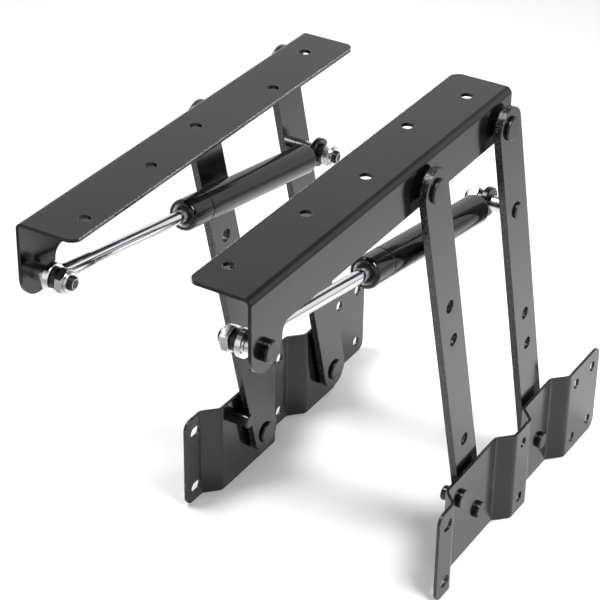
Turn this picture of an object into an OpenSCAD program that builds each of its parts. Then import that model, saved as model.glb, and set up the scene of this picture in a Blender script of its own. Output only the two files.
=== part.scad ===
// Lift top table mechanism: a handed pair of lifting linkages in the raised position.
// Millimetres, +Z up, -Y towards the person at the table, the pair mirrored about X = 0.
// Z = 0 is the bottom edge of both base plates.

/* [Pair] */
// distance between the outer faces of the two top rails
rail_spread = 138; // [125:1:700]

/* [Top rail] */
// length of the top rail
rail_length = 270; // [269:1:300]
// width of the screwed flange
rail_width = 36.5; // [34:0.5:44]
// depth of the upright flange
rail_depth = 27; // [25:0.5:29]
// thickness of the bent sheet in the rails and the base plates
sheet = 2; // [1.6:0.1:2.2]
// outer radius of the long bend in the rail
rail_bend_outer = 4; // [3.2:0.1:5]
// radius of the rail's cut corners
rail_corner = 6; // [3:0.5:8]
// diameter of the screw holes in the rail and the base plate
screw_hole = 7; // [5:0.1:8]
// radius of the round tongue that carries the gas spring
tongue_radius = 13.9; // [12.8:0.1:14.5]
// radius of the inner fillet beside the tongue
tongue_fillet = 6; // [3:0.5:8]

/* [Arms] */
// distance between the two pivots of an arm
arm_length = 259; // [230:1:300]
// width of an arm
arm_width = 24.8; // [22:0.2:25.2]
// thickness of an arm
arm_thick = 4.5; // [4:0.1:5]
// distance between the front arm and the rear arm
arm_spacing = 86.4; // [85:0.2:90]
// how far the raised arms lean past upright, degrees
arm_lean = 15.2; // [12:0.2:18]
// diameter of the spare holes in the arms
spare_hole = 8.2; // [6:0.1:9]

/* [Base plate] */
// length of the base plate
base_length = 219.6; // [218:0.2:232]
// height of the base plate
base_height = 61.8; // [60:0.2:70]
// height of the lower pivots above the base plate's bottom edge
base_pivot_height = 22.4; // [20:0.2:26]
// step between the screwed flanges and the webs that carry the arms
joggle_depth = 9; // [7:0.2:9.6]
// radius of the base plate's corners
base_corner = 6; // [3:0.5:8]

/* [Pivots] */
// diameter of the pivot rivets
rivet_shank = 8; // [6:0.1:8.5]
// diameter of the large rivet heads
rivet_head = 14.2; // [12:0.1:15]
// thickness of the spacers between the rail and the arms
top_spacer = 2.6; // [2:0.1:3.2]
// thickness of the washers between the arms and the base plate
base_washer = 1.9; // [1.5:0.1:2.5]
// diameter of the stop pin
stop_pin = 9.3; // [8:0.1:10]

/* [Gas spring] */
// diameter of the piston rod
rod_diameter = 7.4; // [6.4:0.1:7.8]
// outer diameter of the tube
tube_diameter = 18; // [16:0.1:18.4]
// wall of the tube
tube_wall = 1.5; // [1:0.1:2]
// thickness of the two eyes
eye_thick = 3.8; // [3.4:0.1:4.6]
// outer diameter of the rod's eye
rod_eye_diameter = 15.4; // [14.6:0.1:17]
// outer diameter of the tube's eye
tube_eye_diameter = 17.6; // [15:0.1:18.5]
// distance along the spring from the rear arm's top pivot to the spring stud
stud_on_arm = 61.5; // [58:0.5:66]

/* [Hidden] */
$fn = 64;

// clearances
bore_gap = 0.05;
face_gap = 0.05;
pin_gap = 0.1;
cut_over = 1;
blend = 0.002;

// top rail, measured from its near end and its top face
rear_pivot_in = 13.3;
rear_pivot_y = rail_length - rear_pivot_in;
front_pivot_y = rear_pivot_y - arm_spacing;
pivot_drop = 17.9;
tongue_drop = 32.4;
stud_y = 12.6;
stud_drop = 33.9;
row_inner = 10.2;
row_middle = 14.6;
row_outer = 20.1;
rail_holes = [[row_inner, 21.1], [row_middle, 84.7], [row_outer, 134.8],
              [row_inner, 196.7], [row_outer, 246.7]];

// spare holes in the arms, measured down from the top pivot
front_spares = [86.3, 112.5, 196.6];
rear_spares = [145.8, 171.6];

// lower pivots and the base plate
lean_y = arm_length * sin(arm_lean);
lean_z = arm_length * cos(arm_lean);
base_pivot_in = 68.2;
base_near_y = front_pivot_y + lean_y - base_pivot_in;
base_bottom = -pivot_drop - lean_z - base_pivot_height;
rear_base_pivot_in = base_pivot_in + arm_spacing;
web_past_front = 21.4;
web_before_rear = 35.8;
web_past_rear = 11.7;
joggle_1 = 17.6;
joggle_2 = base_pivot_in + web_past_front;
joggle_3 = rear_base_pivot_in - web_before_rear;
joggle_4 = rear_base_pivot_in + web_past_rear;
joggle_bend = 4.5;
hole_low = 9.6;
hole_down = 10.8;
hole_high = base_height - hole_down;
slot_in = 10.4;
slot_stretch = 2.6;
middle_hole_in = (joggle_2 + joggle_depth + joggle_3) / 2;
far_hole_edge = 10;
far_hole_in = [joggle_4 + joggle_depth + far_hole_edge, base_length - far_hole_edge];

// layers across the unit, counted outwards from the rail's outer face
arm_in = top_spacer + face_gap;
arm_out = arm_in + arm_thick;
web_in = arm_out + face_gap + base_washer;
web_out = web_in + sheet;
flange_out = web_out + joggle_depth;

// rivets
shank_r = rivet_shank / 2;
head_r = rivet_head / 2;
head_h = 1.9;
head_bevel = 0.6;
tail_r = 5.9;
tail_h = 1.5;
base_tail_r = 5.3;
base_tail_h = 2.8;
spacer_r = 6.6;

// stop pin, standing beside the raised front arm
stop_r = stop_pin / 2;
stop_up = 28.9;
stop_side = arm_width / 2 + pin_gap + stop_r;
stop_neck_r = 3.5;
stop_tail_r = 5.8;
stop_tail_h = 2.6;
stop_end = -0.8;

// gas spring studs, whose collars hold the tube clear of the rail
stud_r = 4;
stud_head_r = 5.8;
stud_head_h = 4;
collar_r = 4.7;
tube_clear = 0.65;
eye_u = -sheet - tube_clear - tube_diameter / 2;
eye_out = eye_u + eye_thick / 2;
eye_in = eye_u - eye_thick / 2;
collar_end = eye_out + face_gap;
stud_washer_r = 5.8;
stud_washer_h = 3.8;
stud_washer_bevel = 0.4;
stud_washer_start = eye_in - face_gap;
nut_start = stud_washer_start - stud_washer_h;
nut_flats = 13;
nut_hex_h = 4.4;
nut_h = 6;
nut_collar_r = 5.7;
nut_bevel = 0.5;
nut_chamfer_angle = 30;
thread_pitch = 1.25;
thread_depth = 0.5;
thread_tip = 1.1;
thread_out = thread_pitch + thread_tip;
stud_end = nut_start - nut_h - thread_out;
arm_stud_tail_r = 4.9;
arm_stud_tail_h = 1.5;

// gas spring along its own line, from the rail's stud towards the arm's stud
arm_stud_y = rear_pivot_y + stud_on_arm * sin(arm_lean);
arm_stud_z = -pivot_drop - stud_on_arm * cos(arm_lean);
spring_dy = arm_stud_y - stud_y;
spring_dz = arm_stud_z + stud_drop;
spring_length = sqrt(spring_dy * spring_dy + spring_dz * spring_dz);
spring_angle = atan2(spring_dz, spring_dy);
rod_r = rod_diameter / 2;
tube_r = tube_diameter / 2;
tube_bore = tube_r - tube_wall;
eye_bevel = 0.5;
neck_side = 0.1;
neck_past_washer = 0.6;
neck_start = stud_washer_r + neck_past_washer;
neck_r = eye_thick / 2 - neck_side;
neck_long = 4;
shank_eye_r = 4.2;
shank_eye_end = 31;
rod_spigot_r = 3;
rod_in_shank = 10;
tube_mouth = 116;
tube_end_in = 14.5;
tube_end = spring_length - tube_end_in;
mouth_round = 2.4;
mouth_lip = 1;
tube_end_round = 4;
tube_end_wall = 3;
groove_at = 19;
groove_depth = 0.5;
groove_wide = 1.6;
guide_recess = mouth_lip + face_gap;
guide_length = 11;
guide_dish = 1.6;
guide_rim = 0.8;
seal_wide = 1.6;
seal_r = rod_r + seal_wide;
seal_depth = 3.4;
piston_gap = 0.6;
piston_length = 8;
piston_neck_r = 2;
piston_neck_end = 1.2;
piston_start = tube_mouth + guide_recess + guide_length + piston_gap;

// overall placing
y_middle = -(base_near_y + base_length) / 2;

// sheet metal colours
coat = [0.16, 0.16, 0.17];
zinc = [0.78, 0.79, 0.81];
chrome = [0.85, 0.86, 0.88];
plastic = [0.1, 0.1, 0.1];

// placing helpers

// the right-hand unit's own frame: outwards, along the rail, up from the rail's top
module right() {
  translate([rail_spread / 2, y_middle, -base_bottom]) children();
}

module left() {
  mirror([1, 0, 0]) right() children();
}

// lays a turned piece, drawn upright, along the line across the unit
module across(u, y, z) {
  translate([u, y, z]) rotate([0, 90, 0]) children();
}

// lays a turned piece, drawn upright, along the gas spring
module along_spring(s) {
  translate([eye_u, stud_y, -stud_drop])
    rotate([spring_angle - 90, 0, 0])
      translate([0, 0, s]) children();
}

// straight hole across the unit
module cross_hole(u0, u1, y, z, r) {
  across(u0, y, z) cylinder(h = u1 - u0, r = r);
}

// bent sheet: a mitred strip along a path, then each bend is rounded inside and out

function unit_of(a, b) = (b - a) / norm(b - a);
function side_of(d) = [-d[1], d[0]];
function turn_of(d1, d2) = d1[0] * d2[1] - d1[1] * d2[0];
function way_in(path, i) = unit_of(path[max(i, 1) - 1], path[max(i, 1)]);
function way_out(path, i) = unit_of(path[min(i, len(path) - 2)], path[min(i, len(path) - 2) + 1]);
function mitre(path, i) =
  let (n1 = side_of(way_in(path, i)), n2 = side_of(way_out(path, i))) (n1 + n2) / (1 + n1 * n2);

module mitred_strip(path, thick) {
  last = len(path) - 1;
  polygon(concat([for (i = [0:last]) path[i] + mitre(path, i) * thick / 2],
                 [for (i = [0:last]) path[last - i] - mitre(path, last - i) * thick / 2]));
}

// wedge of a bend, from its centre out to the given distance past the sheet's middle, less a disc
module bend_wedge(p, d1, d2, r, past, disc) {
  turn = turn_of(d1, d2) > 0 ? 1 : -1;
  trim = r * tan(asin(abs(turn_of(d1, d2))) / 2);
  start = p - d1 * trim;
  finish = p + d2 * trim;
  centre = start + side_of(d1) * turn * r;
  scale_out = (r + past) / r;
  difference() {
    polygon([centre, centre + (start - centre) * scale_out, centre + (p - centre) * scale_out,
             centre + (finish - centre) * scale_out]);
    translate(centre) circle(r = disc);
  }
}

module bent_sheet(path, r, thick, h) {
  bends = [for (i = [1:len(path) - 2]) i];
  difference() {
    union() {
      linear_extrude(height = h) mitred_strip(path, thick);
      for (i = bends) {
        linear_extrude(height = h)
          bend_wedge(path[i], way_in(path, i), way_out(path, i), r, thick / 4, r - thick / 2 + blend);
      }
    }
    for (i = bends) {
      translate([0, 0, -cut_over]) linear_extrude(height = h + 2 * cut_over)
        bend_wedge(path[i], way_in(path, i), way_out(path, i), r, thick, r + thick / 2 + blend);
    }
  }
}

// cutter that rounds a corner of a plate facing across the unit
module corner_cut(u0, u1, y, z, sy, sz, r) {
  difference() {
    translate([u0, y + (sy > 0 ? -r : -cut_over), z + (sz > 0 ? -r : -cut_over)])
      cube([u1 - u0, r + cut_over, r + cut_over]);
    cross_hole(u0 - cut_over, u1 + cut_over, y - sy * r, z - sz * r, r);
  }
}

// turned pieces, each drawn upright from z = 0

// head or tail with a bevelled rim, bevel on the far end
module bevelled(r, h, bevel) {
  cylinder(h = h - bevel, r = r);
  translate([0, 0, h - bevel]) cylinder(h = bevel, r1 = r, r2 = r - bevel);
}

module ring(r, hole, h) {
  difference() {
    cylinder(h = h, r = r);
    translate([0, 0, -cut_over]) cylinder(h = h + 2 * cut_over, r = hole);
  }
}

module bevelled_ring(r, hole, h, bevel) {
  rotate_extrude()
    polygon([[hole, 0], [r - bevel, 0], [r, bevel], [r, h - bevel], [r - bevel, h], [hole, h]]);
}

// lock nut: hexagon first, then the round collar that holds the insert
module lock_nut() {
  corner = nut_flats / 2 / cos(30);
  wide = nut_flats / 2 + nut_hex_h / tan(nut_chamfer_angle);
  difference() {
    union() {
      intersection() {
        cylinder(h = nut_hex_h, r = corner, $fn = 6);
        cylinder(h = nut_hex_h, r1 = wide, r2 = nut_flats / 2);
        cylinder(h = nut_hex_h, r1 = nut_flats / 2, r2 = wide);
      }
      translate([0, 0, nut_hex_h]) bevelled(nut_collar_r, nut_h - nut_hex_h, nut_bevel);
    }
    translate([0, 0, -cut_over]) cylinder(h = nut_h + 2 * cut_over, r = stud_r);
  }
}

// threaded end, with its last thread and its pointed tip beyond the nut
module thread_end(h) {
  root = stud_r - thread_depth;
  cylinder(h = h - thread_out, r = stud_r);
  translate([0, 0, h - thread_out]) cylinder(h = thread_pitch / 2, r1 = stud_r, r2 = root);
  translate([0, 0, h - thread_tip - thread_pitch / 2])
    cylinder(h = thread_pitch / 2, r1 = root, r2 = stud_r);
  translate([0, 0, h - thread_tip]) cylinder(h = thread_tip, r1 = stud_r, r2 = stud_r - thread_tip);
}

// sub-parts of one unit

module base_plate() {
  flange = flange_out - sheet / 2;
  web = web_out - sheet / 2;
  path = [[flange, 0], [flange, joggle_1], [web, joggle_1 + joggle_depth],
          [web, joggle_2], [flange, joggle_2 + joggle_depth],
          [flange, joggle_3], [web, joggle_3 + joggle_depth],
          [web, joggle_4], [flange, joggle_4 + joggle_depth],
          [flange, base_length]];
  color(coat)
  translate([0, base_near_y, base_bottom])
  difference() {
    bent_sheet(path, joggle_bend, sheet, base_height);
    for (end = [[0, -1], [base_length, 1]]) {
      corner_cut(web_in, flange_out + cut_over, end[0], 0, end[1], -1, base_corner);
      corner_cut(web_in, flange_out + cut_over, end[0], base_height, end[1], 1, base_corner);
    }
    for (z = [hole_low, hole_high]) {
      for (y = concat([middle_hole_in], far_hole_in)) {
        cross_hole(web_in, flange_out + cut_over, y, z, screw_hole / 2);
      }
      for (end = [-1, 1]) {
        cross_hole(web_in, flange_out + cut_over, slot_in + end * slot_stretch / 2, z, screw_hole / 2);
      }
      translate([web_in, slot_in - slot_stretch / 2, z - screw_hole / 2])
        cube([flange_out - web_in + cut_over, slot_stretch, screw_hole]);
    }
    for (y = [base_pivot_in, rear_base_pivot_in]) {
      cross_hole(web_in - cut_over, web_out + cut_over, y, base_pivot_height, shank_r);
    }
    cross_hole(web_in - cut_over, web_out + cut_over, stop_y() - base_near_y,
               stop_z() - base_bottom, stop_neck_r);
  }
}

function stop_y() = front_pivot_y + lean_y - stop_up * sin(arm_lean) - stop_side * cos(arm_lean);
function stop_z() = -pivot_drop - lean_z + stop_up * cos(arm_lean) - stop_side * sin(arm_lean);

// lower pivot: head inside the arm, tail outside the web
module base_rivet(y) {
  z = -pivot_drop - lean_z;
  color(coat)
  translate([0, y + lean_y, z]) {
    across(arm_in - face_gap, 0, 0) rotate([180, 0, 0]) bevelled(head_r, head_h, head_bevel);
    across(arm_in - face_gap, 0, 0) cylinder(h = web_out - arm_in + face_gap, r = shank_r);
    across(web_out, 0, 0) bevelled(base_tail_r, base_tail_h, head_bevel);
  }
}

module base_pivot_washer(y) {
  color(zinc)
  across(web_in - base_washer, y + lean_y, -pivot_drop - lean_z)
    ring(spacer_r, shank_r, base_washer);
}

module stop() {
  color(coat)
  translate([0, stop_y(), stop_z()]) {
    across(web_in, 0, 0) rotate([180, 0, 0]) bevelled(stop_r, web_in - stop_end, head_bevel);
    across(web_in, 0, 0) cylinder(h = sheet, r = stop_neck_r);
    across(web_out, 0, 0) bevelled(stop_tail_r, stop_tail_h, head_bevel);
  }
}

// arm drawn hanging straight down from its top pivot, then leaned
module arm(y, spares, stud) {
  color(coat)
  translate([0, y, -pivot_drop])
  rotate([arm_lean, 0, 0])
  difference() {
    union() {
      for (z = [0, -arm_length]) {
        cross_hole(arm_in, arm_out, 0, z, arm_width / 2);
      }
      translate([arm_in, -arm_width / 2, -arm_length]) cube([arm_thick, arm_width, arm_length]);
    }
    for (z = [0, -arm_length]) {
      cross_hole(arm_in - cut_over, arm_out + cut_over, 0, z, shank_r + bore_gap);
    }
    for (s = spares) {
      cross_hole(arm_in - cut_over, arm_out + cut_over, 0, -s, spare_hole / 2);
    }
    for (s = stud) {
      cross_hole(arm_in - cut_over, arm_out + cut_over, 0, -s, stud_r);
    }
  }
}

// stud riveted into the rear arm, with its collar up to the tube's eye
module arm_stud() {
  color(zinc)
  translate([0, arm_stud_y, arm_stud_z]) {
    across(arm_out, 0, 0) bevelled(arm_stud_tail_r, arm_stud_tail_h, head_bevel);
    across(collar_end, 0, 0) cylinder(h = arm_out - collar_end, r = stud_r);
    across(collar_end, 0, 0) cylinder(h = arm_in - collar_end, r = collar_r);
  }
}

module stud_washer(y, z) {
  color(zinc)
  across(nut_start, y, z)
    bevelled_ring(stud_washer_r, stud_r, stud_washer_h, stud_washer_bevel);
}

module stud_nut(y, z) {
  color(zinc)
  across(nut_start, y, z) rotate([180, 0, 0]) lock_nut();
}

// threaded end of the arm's stud, carried by the tube's eye
module arm_stud_end() {
  color(coat)
  across(eye_out, arm_stud_y, arm_stud_z) rotate([180, 0, 0]) thread_end(eye_out - stud_end);
}

module top_rail() {
  path = [[-rail_width, -sheet / 2], [-sheet / 2, -sheet / 2], [-sheet / 2, -rail_depth]];
  tongue = 2 * tongue_radius;
  color(coat)
  difference() {
    union() {
      translate([0, rail_length, 0]) rotate([90, 0, 0])
        bent_sheet(path, rail_bend_outer - sheet / 2, sheet, rail_length);
      translate([-sheet, 0, -tongue_drop]) cube([sheet, tongue, tongue_drop - rail_bend_outer]);
      cross_hole(-sheet, 0, tongue_radius, -tongue_drop, tongue_radius);
      difference() {
        translate([-sheet, tongue - sheet, -rail_depth - tongue_fillet])
          cube([sheet, tongue_fillet + sheet, tongue_fillet + sheet]);
        cross_hole(-sheet - cut_over, cut_over, tongue + tongue_fillet,
                   -rail_depth - tongue_fillet, tongue_fillet);
      }
    }
    for (y = [front_pivot_y, rear_pivot_y]) {
      cross_hole(-sheet - cut_over, cut_over, y, -pivot_drop, shank_r);
    }
    cross_hole(-sheet - cut_over, cut_over, stud_y, -stud_drop, stud_r);
    for (h = rail_holes) {
      translate([-rail_width + h[0], h[1], -sheet - cut_over])
        cylinder(h = sheet + 2 * cut_over, r = screw_hole / 2);
    }
    corner_cut(-sheet - cut_over, cut_over, rail_length, -rail_depth, 1, -1, rail_corner);
    for (end = [[0, 1], [rail_length, -1]]) {
      difference() {
        translate([-rail_width - cut_over, end[0] - (end[1] > 0 ? cut_over : rail_corner),
                   -sheet - cut_over])
          cube([rail_corner + cut_over, rail_corner + cut_over, sheet + 2 * cut_over]);
        translate([-rail_width + rail_corner, end[0] + end[1] * rail_corner, -sheet - 2 * cut_over])
          cylinder(h = sheet + 4 * cut_over, r = rail_corner);
      }
    }
  }
}

// upper pivot: head outside the arm, tail inside the rail
module top_rivet(y) {
  color(coat)
  translate([0, y, -pivot_drop]) {
    across(arm_out + face_gap, 0, 0) bevelled(head_r, head_h, head_bevel);
    across(-sheet, 0, 0) cylinder(h = arm_out + face_gap + sheet, r = shank_r);
    across(-sheet, 0, 0) rotate([180, 0, 0]) bevelled(tail_r, tail_h, head_bevel);
  }
}

module top_pivot_spacer(y) {
  color(zinc)
  across(0, y, -pivot_drop) ring(spacer_r, shank_r, top_spacer);
}

module rail_stud() {
  color(coat)
  translate([0, stud_y, -stud_drop]) {
    across(0, 0, 0) bevelled(stud_head_r, stud_head_h, head_bevel);
    across(-sheet, 0, 0) cylinder(h = sheet, r = stud_r);
    across(collar_end, 0, 0) cylinder(h = -sheet - collar_end, r = collar_r);
    across(collar_end, 0, 0) rotate([180, 0, 0]) thread_end(collar_end - stud_end);
  }
}

// an eye with its shank, drawn upright with the shank pointing up
module eye_with_neck(r, hole, neck_end) {
  neck_full = neck_start + neck_long;
  difference() {
    union() {
      translate([-eye_thick / 2, 0, 0]) rotate([0, 90, 0])
        bevelled_ring(r, hole, eye_thick, eye_bevel);
      translate([0, 0, neck_start]) cylinder(h = neck_long, r1 = neck_r, r2 = shank_eye_r);
      translate([0, 0, neck_full]) bevelled(shank_eye_r, neck_end - neck_full, eye_bevel);
    }
    translate([-eye_thick, 0, 0]) rotate([0, 90, 0]) cylinder(h = 2 * eye_thick, r = hole);
  }
}

module rod_eye() {
  color(chrome)
  along_spring(0)
  difference() {
    eye_with_neck(rod_eye_diameter / 2, stud_r + bore_gap, shank_eye_end);
    translate([0, 0, shank_eye_end - rod_in_shank])
      cylinder(h = rod_in_shank + cut_over, r = rod_spigot_r);
  }
}

// rod between the spigot in its eye and the thin neck that carries the piston
module piston_rod() {
  color(chrome) {
    along_spring(shank_eye_end - rod_in_shank) cylinder(h = rod_in_shank, r = rod_spigot_r);
    along_spring(shank_eye_end) cylinder(h = piston_start - shank_eye_end, r = rod_r);
    along_spring(piston_start) cylinder(h = piston_length, r = piston_neck_r);
    along_spring(piston_start + piston_length)
      bevelled(rod_r, piston_neck_end, piston_neck_end / 2);
  }
}

module piston() {
  color(plastic)
  along_spring(piston_start)
    bevelled_ring(tube_bore - bore_gap, piston_neck_r, piston_length, head_bevel);
}

// drawn tube: its mouth is rolled in over the guide and its far end is closed and rounded
module spring_tube() {
  length = tube_end - tube_mouth;
  color(coat)
  along_spring(tube_mouth)
  difference() {
    rotate_extrude() {
      translate([tube_r - mouth_round, mouth_round]) circle(r = mouth_round);
      translate([tube_r - tube_end_round, length - tube_end_round]) circle(r = tube_end_round);
      translate([0, mouth_round]) square([tube_r, length - mouth_round - tube_end_round]);
      square([tube_r - mouth_round, mouth_round + blend]);
      translate([0, length - tube_end_round - blend])
        square([tube_r - tube_end_round, tube_end_round + blend]);
    }
    translate([0, 0, groove_at]) groove_cut();
    translate([0, 0, mouth_lip]) cylinder(h = length - tube_end_wall - mouth_lip, r = tube_bore);
    translate([0, 0, -cut_over]) cylinder(h = mouth_lip + 2 * cut_over, r = tube_r - mouth_round);
  }
}

// ring with a pointed inner edge, taken off the outside of the tube
module groove_cut() {
  rotate_extrude()
    polygon([[tube_r - groove_depth, 0], [tube_r + groove_depth, -groove_wide],
             [tube_r + groove_depth, groove_wide]]);
}

// guide that closes the tube, dished towards the seal's pocket round the rod
module rod_guide() {
  color(plastic)
  along_spring(tube_mouth + guide_recess)
    rotate_extrude()
      polygon([[rod_r + bore_gap, seal_depth], [seal_r, seal_depth], [seal_r, guide_dish],
               [tube_bore - guide_rim, 0], [tube_bore, 0], [tube_bore, guide_length],
               [rod_r + bore_gap, guide_length]]);
}

module tube_eye() {
  color(coat)
  along_spring(spring_length) rotate([180, 0, 0])
    eye_with_neck(tube_eye_diameter / 2, stud_r, spring_length - tube_end);
}

// the two units, sub-part by sub-part

module right_base_plate() { right() base_plate(); }
module right_front_base_rivet() { right() base_rivet(front_pivot_y); }
module right_rear_base_rivet() { right() base_rivet(rear_pivot_y); }
module right_front_base_washer() { right() base_pivot_washer(front_pivot_y); }
module right_rear_base_washer() { right() base_pivot_washer(rear_pivot_y); }
module right_stop_pin() { right() stop(); }
module right_front_arm() { right() arm(front_pivot_y, front_spares, []); }
module right_rear_arm() { right() arm(rear_pivot_y, rear_spares, [stud_on_arm]); }
module right_arm_stud() { right() arm_stud(); }
module right_arm_stud_washer() { right() stud_washer(arm_stud_y, arm_stud_z); }
module right_top_rail() { right() top_rail(); }
module right_front_top_rivet() { right() top_rivet(front_pivot_y); }
module right_rear_top_rivet() { right() top_rivet(rear_pivot_y); }
module right_front_top_spacer() { right() top_pivot_spacer(front_pivot_y); }
module right_rear_top_spacer() { right() top_pivot_spacer(rear_pivot_y); }
module right_rail_stud() { right() rail_stud(); }
module right_rail_stud_washer() { right() stud_washer(stud_y, -stud_drop); }
module right_rail_stud_nut() { right() stud_nut(stud_y, -stud_drop); }
module right_rod_eye() { right() rod_eye(); }
module right_piston_rod() { right() piston_rod(); }
module right_piston() { right() piston(); }
module right_spring_tube() { right() spring_tube(); }
module right_rod_guide() { right() rod_guide(); }
module right_tube_eye() { right() tube_eye(); }
module right_arm_stud_end() { right() arm_stud_end(); }
module right_arm_stud_nut() { right() stud_nut(arm_stud_y, arm_stud_z); }
module left_base_plate() { left() base_plate(); }
module left_front_base_rivet() { left() base_rivet(front_pivot_y); }
module left_rear_base_rivet() { left() base_rivet(rear_pivot_y); }
module left_front_base_washer() { left() base_pivot_washer(front_pivot_y); }
module left_rear_base_washer() { left() base_pivot_washer(rear_pivot_y); }
module left_stop_pin() { left() stop(); }
module left_front_arm() { left() arm(front_pivot_y, front_spares, []); }
module left_rear_arm() { left() arm(rear_pivot_y, rear_spares, [stud_on_arm]); }
module left_arm_stud() { left() arm_stud(); }
module left_arm_stud_washer() { left() stud_washer(arm_stud_y, arm_stud_z); }
module left_top_rail() { left() top_rail(); }
module left_front_top_rivet() { left() top_rivet(front_pivot_y); }
module left_rear_top_rivet() { left() top_rivet(rear_pivot_y); }
module left_front_top_spacer() { left() top_pivot_spacer(front_pivot_y); }
module left_rear_top_spacer() { left() top_pivot_spacer(rear_pivot_y); }
module left_rail_stud() { left() rail_stud(); }
module left_rail_stud_washer() { left() stud_washer(stud_y, -stud_drop); }
module left_rail_stud_nut() { left() stud_nut(stud_y, -stud_drop); }
module left_rod_eye() { left() rod_eye(); }
module left_piston_rod() { left() piston_rod(); }
module left_piston() { left() piston(); }
module left_spring_tube() { left() spring_tube(); }
module left_rod_guide() { left() rod_guide(); }
module left_tube_eye() { left() tube_eye(); }
module left_arm_stud_end() { left() arm_stud_end(); }
module left_arm_stud_nut() { left() stud_nut(arm_stud_y, arm_stud_z); }

right_base_plate();
right_front_base_rivet();
right_rear_base_rivet();
right_front_base_washer();
right_rear_base_washer();
right_stop_pin();
right_front_arm();
right_rear_arm();
right_arm_stud();
right_arm_stud_washer();
right_top_rail();
right_front_top_rivet();
right_rear_top_rivet();
right_front_top_spacer();
right_rear_top_spacer();
right_rail_stud();
right_rail_stud_washer();
right_rail_stud_nut();
right_rod_eye();
right_piston_rod();
right_piston();
right_spring_tube();
right_rod_guide();
right_tube_eye();
right_arm_stud_end();
right_arm_stud_nut();
left_base_plate();
left_front_base_rivet();
left_rear_base_rivet();
left_front_base_washer();
left_rear_base_washer();
left_stop_pin();
left_front_arm();
left_rear_arm();
left_arm_stud();
left_arm_stud_washer();
left_top_rail();
left_front_top_rivet();
left_rear_top_rivet();
left_front_top_spacer();
left_rear_top_spacer();
left_rail_stud();
left_rail_stud_washer();
left_rail_stud_nut();
left_rod_eye();
left_piston_rod();
left_piston();
left_spring_tube();
left_rod_guide();
left_tube_eye();
left_arm_stud_end();
left_arm_stud_nut();
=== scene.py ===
"""Looks of the lift top table mechanism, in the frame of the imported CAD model.

Every CAD node keeps its shape and gets a worked surface: black dipped paint with rough sheared
edges, hard chrome on the rod and its eye, and bright zinc on the nuts and the studs' collars.
"""

import math

import bpy
from mathutils import Matrix, Vector


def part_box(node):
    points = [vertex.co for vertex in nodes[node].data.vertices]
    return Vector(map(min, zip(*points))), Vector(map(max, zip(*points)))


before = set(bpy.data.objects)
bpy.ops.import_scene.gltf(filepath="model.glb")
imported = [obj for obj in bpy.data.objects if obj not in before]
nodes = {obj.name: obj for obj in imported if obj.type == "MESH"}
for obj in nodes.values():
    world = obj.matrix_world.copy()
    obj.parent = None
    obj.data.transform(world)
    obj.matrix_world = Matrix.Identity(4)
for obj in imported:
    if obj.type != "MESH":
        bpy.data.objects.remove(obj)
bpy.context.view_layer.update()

SIDES = ("right", "left")

# The photo's camera, fitted to the right-hand unit: metres, degrees and millimetres of lens
CAMERA_PLACE = Vector((0.5200, -0.9017, 0.8038))
CAMERA_AZIMUTH = 30.81
CAMERA_ELEVATION = 30.90
CAMERA_ROLL = 0.91
CAMERA_LENS = 127.27
CAMERA_SENSOR = 36
CAMERA_SHIFT = (-0.0107, -0.0342)
CAMERA_CLIP = (0.05, 50)

# Distances from the plane between the units, metres, and the line of the gas springs
HALF_SPREAD = 0.069
RAIL_EDGE = HALF_SPREAD - 0.0365
ARM_FACE = HALF_SPREAD + 0.00265
WEB_FACE = HALF_SPREAD - 0.002
COLLAR_END = HALF_SPREAD - 0.0097
NUT_END = HALF_SPREAD - 0.0234
SPRING_LEAN = math.radians(-9.4576)
SPRING_AXIS = (0.0, math.cos(SPRING_LEAN), math.sin(SPRING_LEAN))
STUD_AXIS = (1.0, 0.0, 0.0)

# Bounds on the pieces, metres, of the burr, the painted highlight ring on the stud tips, the zinc
# collars and the painted shade round the rods: the burr's and the tip highlight's run from paint
# to metal
BURR_INWARD = (RAIL_EDGE + 0.0005, RAIL_EDGE + 0.0003)
BURR_BELOW_TOP = (0.001, 0.0007)
# The tip ring is a painted highlight: a bright zinc ring on the black stud's tip
TIP_HIGHLIGHT_INWARD = (NUT_END + 0.0001, NUT_END)
TIP_HIGHLIGHT_RING = (0.0024, 0.0027)
TIP_HIGHLIGHT_SOFT = 0.0001
COLLAR_SOFT = 0.00005
# Painted shade: the guide is near-black and not metallic within this distance of the rod's axis
POCKET_SHADE_EDGE = (0.0052, 0.0054)

# Tones, linear
PAINT = (0.0024, 0.0023, 0.0023)
PAINT_WORN = (0.006, 0.0056, 0.0054)
RAIL_BURR = (0.42, 0.41, 0.40)
EDGE_SPECK = (0.10, 0.098, 0.095)
TUBE_PAINT = (0.0016, 0.0016, 0.0017)
CHROME = (0.84, 0.85, 0.87)
ZINC = (0.74, 0.75, 0.77)
ZINC_DULL = (0.52, 0.53, 0.55)
GUIDE = (0.62, 0.62, 0.63)
# Near-black of the moulded plastic, also used as painted shade in the guides' pockets round the
# rods
DARK_PLASTIC_AND_POCKET_SHADE = (0.02, 0.02, 0.02)
FLOOR = (0.95, 0.95, 0.95)

# Roughness, from one patch of a surface to the next
PAINT_ROUGH = (0.13, 0.18)
CUT_ROUGHER = (0.0, 0.12)
RIVET_ROUGH = (0.2, 0.32)
TUBE_ROUGH = (0.07, 0.19)
CHROME_ROUGH = (0.04, 0.14)
ZINC_ROUGH = (0.12, 0.22)
STUD_ROUGH = (0.18, 0.3)
GUIDE_ROUGH = (0.32, 0.45)
PLASTIC_ROUGH = (0.4, 0.55)
FLOOR_ROUGH = 0.6

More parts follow.
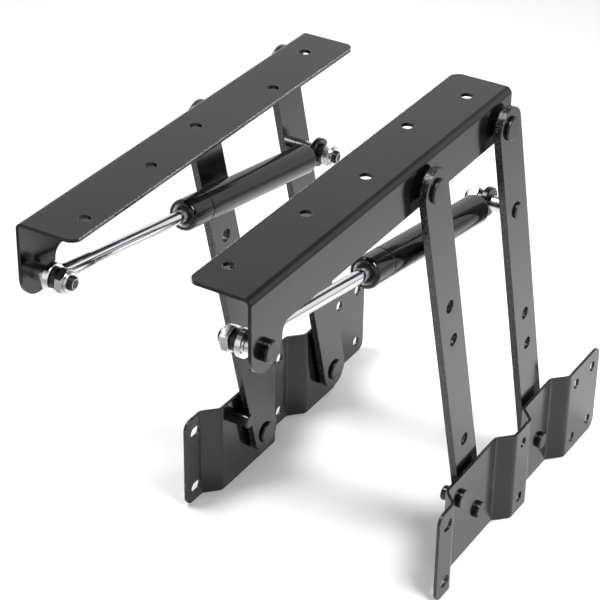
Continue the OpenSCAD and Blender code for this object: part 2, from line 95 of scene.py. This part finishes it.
# Noise: grains in a metre, and detail
PAINT_PATCHES = (14, 3)
PAINT_WAVES = (160, 1)
PAINT_GRAIN = (900, 2)
BURR_SPECKS = (1900, 2)
EDGE_SPECKS = (1100, 2)
EDGE_TEARS = (650, 3)
TURNED_PATCHES = (60, 2)
TURNED_GRAIN = (1200, 2)
METAL_PATCHES = (80, 3)
CHROME_GRAIN = (2500, 2)
ZINC_GRAIN = (700, 2)
STUD_GRAIN = (1000, 2)
GUIDE_PATCHES = (300, 2)
GUIDE_GRAIN = (1500, 2)
PLASTIC_PATCHES = (120, 2)
PLASTIC_GRAIN = (900, 2)

# Stretches of a value that are spread over 0 to 1
UNEVEN = (0.35, 0.7)
SOFT = (0.3, 0.7)
BURR_SHARE = (0.50, 0.56)
SPECK_SHARE = (0.58, 0.64)
CUT_SHARE = (0.4, 0.2)

# Relief: strength, and depth in metres
WAVE_RELIEF = (0.05, 0.0006)
GRAIN_RELIEF = (0.05, 0.0002)
TEAR_RELIEF = (0.6, 0.0005)
TURNED_RELIEF = (0.1, 0.0002)
CHROME_RELIEF = (0.02, 0.0002)
ZINC_RELIEF = (0.04, 0.0002)
STUD_RELIEF = (0.08, 0.0002)
GUIDE_RELIEF = (0.15, 0.0002)
PLASTIC_RELIEF = (0.2, 0.0002)
TEAR_STRETCH = (1, 1, 0.5)


# Node helpers, and the numbers of the Mix node's colour sockets

MIX_COLOURS = (6, 7)
MIX_RESULT = 2


class Builder:
    """Short names for making and joining shader nodes in one material."""

    def __init__(self, name):
        self.material = bpy.data.materials.new(name)
        self.material.use_nodes = True
        self.tree = self.material.node_tree
        self.shader = self.tree.nodes["Principled BSDF"]
        self.places = self.tree.nodes.new("ShaderNodeTexCoord")

    def link(self, source, target):
        self.tree.links.new(source, target)

    def noise(self, grain, stretch=(1, 1, 1)):
        per_metre, detail = grain
        spread = self.tree.nodes.new("ShaderNodeMapping")
        spread.inputs["Scale"].default_value = stretch
        self.link(self.places.outputs["Object"], spread.inputs["Vector"])
        noise = self.tree.nodes.new("ShaderNodeTexNoise")
        noise.inputs["Scale"].default_value = per_metre
        noise.inputs["Detail"].default_value = detail
        self.link(spread.outputs["Vector"], noise.inputs["Vector"])
        return noise.outputs["Fac"]

    def map_range(self, value, side, ends):
        node = self.tree.nodes.new("ShaderNodeMapRange")
        for name, end in zip(("Min", "Max"), ends):
            node.inputs[f"{side} {name}"].default_value = end
        self.link(value, node.inputs["Value"])
        return node.outputs["Result"]

    def ramp(self, value, ends):
        """Maps the stretch between two values onto 0 to 1."""
        return self.map_range(value, "From", ends)

    def spread(self, value, ends):
        """Maps 0 to 1 onto the stretch between two values."""
        return self.map_range(value, "To", ends)

    def patches(self, grain, share):
        return self.ramp(self.noise(grain), share)

    def blend(self, factor, first, second):
        """Mixes two colours, each a tuple or a socket."""
        node = self.tree.nodes.new("ShaderNodeMix")
        node.data_type = "RGBA"
        self.link(factor, node.inputs["Factor"])
        for number, colour in zip(MIX_COLOURS, (first, second)):
            socket = node.inputs[number]
            if isinstance(colour, tuple):
                socket.default_value = (*colour, 1.0)
            else:
                self.link(colour, socket)
        return node.outputs[MIX_RESULT]

    def calc(self, operation, first, second):
        node = self.tree.nodes.new("ShaderNodeMath")
        node.operation = operation
        for socket, value in zip(node.inputs, (first, second)):
            if isinstance(value, (int, float)):
                socket.default_value = value
            else:
                self.link(value, socket)
        return node.outputs["Value"]

    def coordinate(self, output, axis):
        parts = self.tree.nodes.new("ShaderNodeSeparateXYZ")
        self.link(self.places.outputs[output], parts.inputs["Vector"])
        return parts.outputs[axis]

    def from_middle(self):
        """Distance from the plane between the two units."""
        return self.calc("ABSOLUTE", self.coordinate("Object", "X"), 0)

    def across_face(self):
        """1 on faces that look along X, 0 on the cut edges round them."""
        return self.calc("ABSOLUTE", self.coordinate("Normal", "X"), 0)

    def band(self, value, low, high, soft):
        """1 where a value lies between low and high."""
        return self.calc(
            "MULTIPLY",
            self.ramp(value, (low - soft, low + soft)),
            self.ramp(value, (high + soft, high - soft)),
        )

    def vector_math(self, operation, first, second=None):
        node = self.tree.nodes.new("ShaderNodeVectorMath")
        node.operation = operation
        self.link(first, node.inputs[0])
        if second is not None:
            node.inputs[1].default_value = second
        return node.outputs["Value" if operation == "LENGTH" else "Vector"]

    def from_line(self, point, axis):
        """Distance from a line through a point of the part."""
        offset = self.vector_math("SUBTRACT", self.places.outputs["Object"], point)
        return self.vector_math("LENGTH", self.vector_math("CROSS_PRODUCT", offset, axis))

    def bump(self, height, relief, below=None):
        """Relief on the plain surface, or on a bumped one below it."""
        node = self.tree.nodes.new("ShaderNodeBump")
        node.inputs["Strength"].default_value, node.inputs["Distance"].default_value = relief
        self.link(height, node.inputs["Height"])
        if below is not None:
            self.link(below, node.inputs["Normal"])
        return node.outputs["Normal"]

    def set(self, **values):
        """Fills the shader's inputs, each with a number, a colour or a socket."""
        for name, value in values.items():
            socket = self.shader.inputs[name.replace("_", " ").title()]
            if hasattr(value, "links"):
                self.link(value, socket)
            else:
                socket.default_value = (*value, 1.0) if isinstance(value, tuple) else value


# Materials


def dipped_paint(b):
    """Colour, roughness and skin of the black dipped paint."""
    patches = b.patches(PAINT_PATCHES, UNEVEN)
    waves = b.bump(b.noise(PAINT_WAVES), WAVE_RELIEF)
    skin = b.bump(b.noise(PAINT_GRAIN), GRAIN_RELIEF, waves)
    return b.blend(patches, PAINT, PAINT_WORN), b.spread(patches, PAINT_ROUGH), skin


def painted_rail(name):
    """Black dipped paint whose burr shows through on the flange's edge next to the middle."""
    b = Builder(name)
    paint, rough, skin = dipped_paint(b)
    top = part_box("right_top_rail")[1][2]
    upper = b.ramp(b.coordinate("Object", "Z"), [top - below for below in BURR_BELOW_TOP])
    edge = b.calc("MULTIPLY", b.ramp(b.from_middle(), BURR_INWARD), upper)
    burr = b.calc("MULTIPLY", edge, b.patches(BURR_SPECKS, BURR_SHARE))
    b.set(base_color=b.blend(burr, paint, RAIL_BURR), roughness=rough, normal=skin)
    return b.material


def painted_sheet(name):
    """Black dipped paint, smooth on the faces and rough on the sheared edges."""
    b = Builder(name)
    paint, rough, skin = dipped_paint(b)
    cut = b.ramp(b.across_face(), CUT_SHARE)
    specks = b.calc("MULTIPLY", cut, b.patches(EDGE_SPECKS, SPECK_SHARE))
    tears = b.calc("MULTIPLY", b.noise(EDGE_TEARS, TEAR_STRETCH), cut)
    b.set(
        base_color=b.blend(specks, paint, EDGE_SPECK),
        roughness=b.calc("ADD", rough, b.spread(cut, CUT_ROUGHER)),
        normal=b.bump(tears, TEAR_RELIEF, skin),
    )
    return b.material


def painted_turned(name, tone, rough):
    """Black paint over a turned or pressed piece."""
    b = Builder(name)
    patches = b.patches(TURNED_PATCHES, SOFT)
    b.set(
        base_color=b.blend(patches, tone, PAINT_WORN),
        roughness=b.spread(patches, rough),
        normal=b.bump(b.noise(TURNED_GRAIN), TURNED_RELIEF),
    )
    return b.material


def bright_metal(name, tone, dull, rough, grain, relief):
    """Plated or polished metal with a fine grain."""
    b = Builder(name)
    patches = b.patches(METAL_PATCHES, UNEVEN)
    b.set(
        base_color=b.blend(patches, tone, dull),
        metallic=1.0,
        roughness=b.spread(patches, rough),
        normal=b.bump(b.noise(grain), relief),
    )
    return b.material


def middle(node):
    low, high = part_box(node)
    return (Vector(low) + Vector(high)) / 2


def stud_zinc_and_highlight(name, node, collar):
    """Black stud with a painted highlight ring of bright zinc on its tip, and a bright zinc collar
    between two distances.
    """
    b = Builder(name)
    across = b.from_middle()
    # Painted highlight: a bright zinc ring round the axis on the stud's tip, joined with the real
    # zinc collar
    ring = b.band(b.from_line(middle(node), STUD_AXIS), *TIP_HIGHLIGHT_RING, TIP_HIGHLIGHT_SOFT)
    zinc_and_highlight = b.calc("MULTIPLY", ring, b.ramp(across, TIP_HIGHLIGHT_INWARD))
    if collar is not None:
        zinc_and_highlight = b.calc("MAXIMUM", zinc_and_highlight, b.band(across, *collar, COLLAR_SOFT))
    b.set(
        base_color=b.blend(zinc_and_highlight, PAINT, ZINC),
        metallic=zinc_and_highlight,
        roughness=b.spread(b.patches(METAL_PATCHES, UNEVEN), STUD_ROUGH),
        normal=b.bump(b.noise(STUD_GRAIN), STUD_RELIEF),
    )
    return b.material


def guide_metal_and_pocket_shade(name, node):
    """Sintered guide, bright on its dished face, with painted shade in the pocket round the rod.
    """
    b = Builder(name)
    # Painted shade: near-black and not metallic in the pocket round the rod, bright metal on the
    # dished face
    face = b.ramp(b.from_line(middle(node), SPRING_AXIS), POCKET_SHADE_EDGE)
    b.set(
        base_color=b.blend(face, DARK_PLASTIC_AND_POCKET_SHADE, GUIDE),
        metallic=face,
        roughness=b.spread(b.patches(GUIDE_PATCHES, SOFT), GUIDE_ROUGH),
        normal=b.bump(b.noise(GUIDE_GRAIN), GUIDE_RELIEF),
    )
    return b.material


def moulded(name):
    """Black moulded plastic."""
    b = Builder(name)
    patches = b.patches(PLASTIC_PATCHES, SOFT)
    b.set(
        base_color=b.blend(patches, DARK_PLASTIC_AND_POCKET_SHADE, PAINT_WORN),
        roughness=b.spread(patches, PLASTIC_ROUGH),
        normal=b.bump(b.noise(PLASTIC_GRAIN), PLASTIC_RELIEF),
    )
    return b.material


SHEET = painted_sheet("painted_sheet")
RAIL_PAINT = painted_rail("painted_rail")
FASTENER = painted_turned("painted_rivet", PAINT, RIVET_ROUGH)
TUBE = painted_turned("painted_tube", TUBE_PAINT, TUBE_ROUGH)
ROD = bright_metal("chrome_rod", CHROME, CHROME, CHROME_ROUGH, CHROME_GRAIN, CHROME_RELIEF)
PLATED = bright_metal("bright_zinc", ZINC, ZINC_DULL, ZINC_ROUGH, ZINC_GRAIN, ZINC_RELIEF)
RAIL_STUD = stud_zinc_and_highlight("rail_stud_metal", "right_rail_stud", (COLLAR_END, WEB_FACE))
ARM_STUD = stud_zinc_and_highlight("arm_stud_metal", "right_arm_stud", (COLLAR_END, ARM_FACE))
ARM_STUD_END = stud_zinc_and_highlight("arm_stud_end_highlight", "right_arm_stud_end", None)
PLASTIC = moulded("black_plastic")

LOOKS = {
    "base_plate": SHEET,
    "front_base_rivet": FASTENER,
    "rear_base_rivet": FASTENER,
    "front_base_washer": PLATED,
    "rear_base_washer": PLATED,
    "stop_pin": TUBE,
    "front_arm": SHEET,
    "rear_arm": SHEET,
    "arm_stud": ARM_STUD,
    "arm_stud_washer": FASTENER,
    "top_rail": RAIL_PAINT,
    "front_top_rivet": FASTENER,
    "rear_top_rivet": FASTENER,
    "front_top_spacer": FASTENER,
    "rear_top_spacer": FASTENER,
    "rail_stud": RAIL_STUD,
    "rail_stud_washer": FASTENER,
    "rail_stud_nut": PLATED,
    "rod_eye": ROD,
    "piston_rod": ROD,
    "piston": PLASTIC,
    "spring_tube": TUBE,
    "tube_eye": FASTENER,
    "arm_stud_end": ARM_STUD_END,
    "arm_stud_nut": PLATED,
}


def dress_cad():
    for side in SIDES:
        for piece, material in LOOKS.items():
            node = nodes[f"{side}_{piece}"]
            for slot in node.material_slots:
                slot.material = material
        guide = f"{side}_rod_guide"
        nodes[guide].material_slots[0].material = guide_metal_and_pocket_shade(f"{guide}_metal", guide)


# Edges: every sheet, bar and turned piece has its sharp edges broken, lengths in metres

EDGE_BREAK = 0.00035
SHEET_BREAK = 0.0006
SHEET_PIECES = ("base_plate", "front_arm", "rear_arm", "top_rail")
EDGE_STEPS = 2
EDGE_ANGLE = math.radians(32)
FLAT_ANGLE = math.radians(0.3)
JOIN_GAP = 1e-6
FACE_WEIGHT = 100


def break_edges():
    for name, node in nodes.items():
        weld = node.modifiers.new("join_faces", "WELD")
        weld.merge_threshold = JOIN_GAP
        flat = node.modifiers.new("whole_faces", "DECIMATE")
        flat.decimate_type = "DISSOLVE"
        flat.angle_limit = FLAT_ANGLE
        bevel = node.modifiers.new("broken_edges", "BEVEL")
        bevel.width = SHEET_BREAK if name.endswith(SHEET_PIECES) else EDGE_BREAK
        bevel.segments = EDGE_STEPS
        bevel.limit_method = "ANGLE"
        bevel.angle_limit = EDGE_ANGLE
        shade = node.modifiers.new("even_shade", "WEIGHTED_NORMAL")
        shade.keep_sharp = False
        shade.weight = FACE_WEIGHT


# Studio: metres, watts and degrees. The sky is bright at the horizon and dims overhead

FLOOR_HALF = 6.0
FLOOR_HEIGHT = -0.0005
FLOOR_CORNERS = ((-1, -1), (1, -1), (1, 1), (-1, 1))
SKY_TONE = (1, 1, 1, 1)
SKY_FADE = {"From Min": 0.42, "From Max": 0.7, "To Min": 0.9, "To Max": 0.25}
LIGHTS = {
    "key": {
        "place": (0.55, -0.1, 0.95),
        "aim": (0.12, 0.12, 0.0),
        "size": 0.4,
        "power": 1.6,
        "beam": 65,
    },
    "left": {
        "place": (-0.6, -0.1, 1.5),
        "aim": (-0.25, 0.45, 0.0),
        "size": 0.6,
        "power": 4.0,
        "beam": 75,
    },
}


def make_floor():
    mesh = bpy.data.meshes.new("floor")
    corners = [(x * FLOOR_HALF, y * FLOOR_HALF, FLOOR_HEIGHT) for x, y in FLOOR_CORNERS]
    mesh.from_pydata(corners, [], [(0, 1, 2, 3)])
    floor = bpy.data.objects.new("floor", mesh)
    bpy.context.scene.collection.objects.link(floor)
    b = Builder("pale_floor")
    b.set(base_color=FLOOR, roughness=FLOOR_ROUGH)
    mesh.materials.append(b.material)


def make_sky():
    world = bpy.data.worlds.new("studio")
    bpy.context.scene.world = world
    world.use_nodes = True
    tree = world.node_tree
    background = tree.nodes["Background"]
    background.inputs["Color"].default_value = SKY_TONE
    places = tree.nodes.new("ShaderNodeTexCoord")
    parts = tree.nodes.new("ShaderNodeSeparateXYZ")
    fade = tree.nodes.new("ShaderNodeMapRange")
    fade.interpolation_type = "SMOOTHSTEP"
    for name, value in SKY_FADE.items():
        fade.inputs[name].default_value = value
    tree.links.new(places.outputs["Generated"], parts.inputs["Vector"])
    tree.links.new(parts.outputs["Z"], fade.inputs["Value"])
    tree.links.new(fade.outputs["Result"], background.inputs["Strength"])


def make_light(name, place, aim, size, power, beam):
    data = bpy.data.lights.new(name, "AREA")
    data.shape = "SQUARE"
    data.size = size
    data.energy = power
    data.spread = math.radians(beam)
    light = bpy.data.objects.new(name, data)
    light.location = place
    light.rotation_mode = "QUATERNION"
    light.rotation_quaternion = (Vector(aim) - Vector(place)).to_track_quat("-Z", "Y")
    bpy.context.scene.collection.objects.link(light)


def make_studio():
    make_floor()
    make_sky()
    for name, light in LIGHTS.items():
        make_light(name, **light)
    bpy.context.scene.view_settings.view_transform = "Standard"


def make_camera():
    data = bpy.data.cameras.new("camera")
    data.sensor_width = CAMERA_SENSOR
    data.lens = CAMERA_LENS
    data.shift_x, data.shift_y = CAMERA_SHIFT
    data.clip_start, data.clip_end = CAMERA_CLIP
    turn = (
        Matrix.Rotation(math.radians(CAMERA_AZIMUTH), 3, "Z")
        @ Matrix.Rotation(math.radians(90 - CAMERA_ELEVATION), 3, "X")
        @ Matrix.Rotation(math.radians(CAMERA_ROLL), 3, "Z")
    )
    camera = bpy.data.objects.new("camera", data)
    camera.matrix_world = Matrix.Translation(CAMERA_PLACE) @ turn.to_4x4()
    bpy.context.scene.collection.objects.link(camera)
    bpy.context.scene.camera = camera


make_camera()
make_studio()
dress_cad()
break_edges()
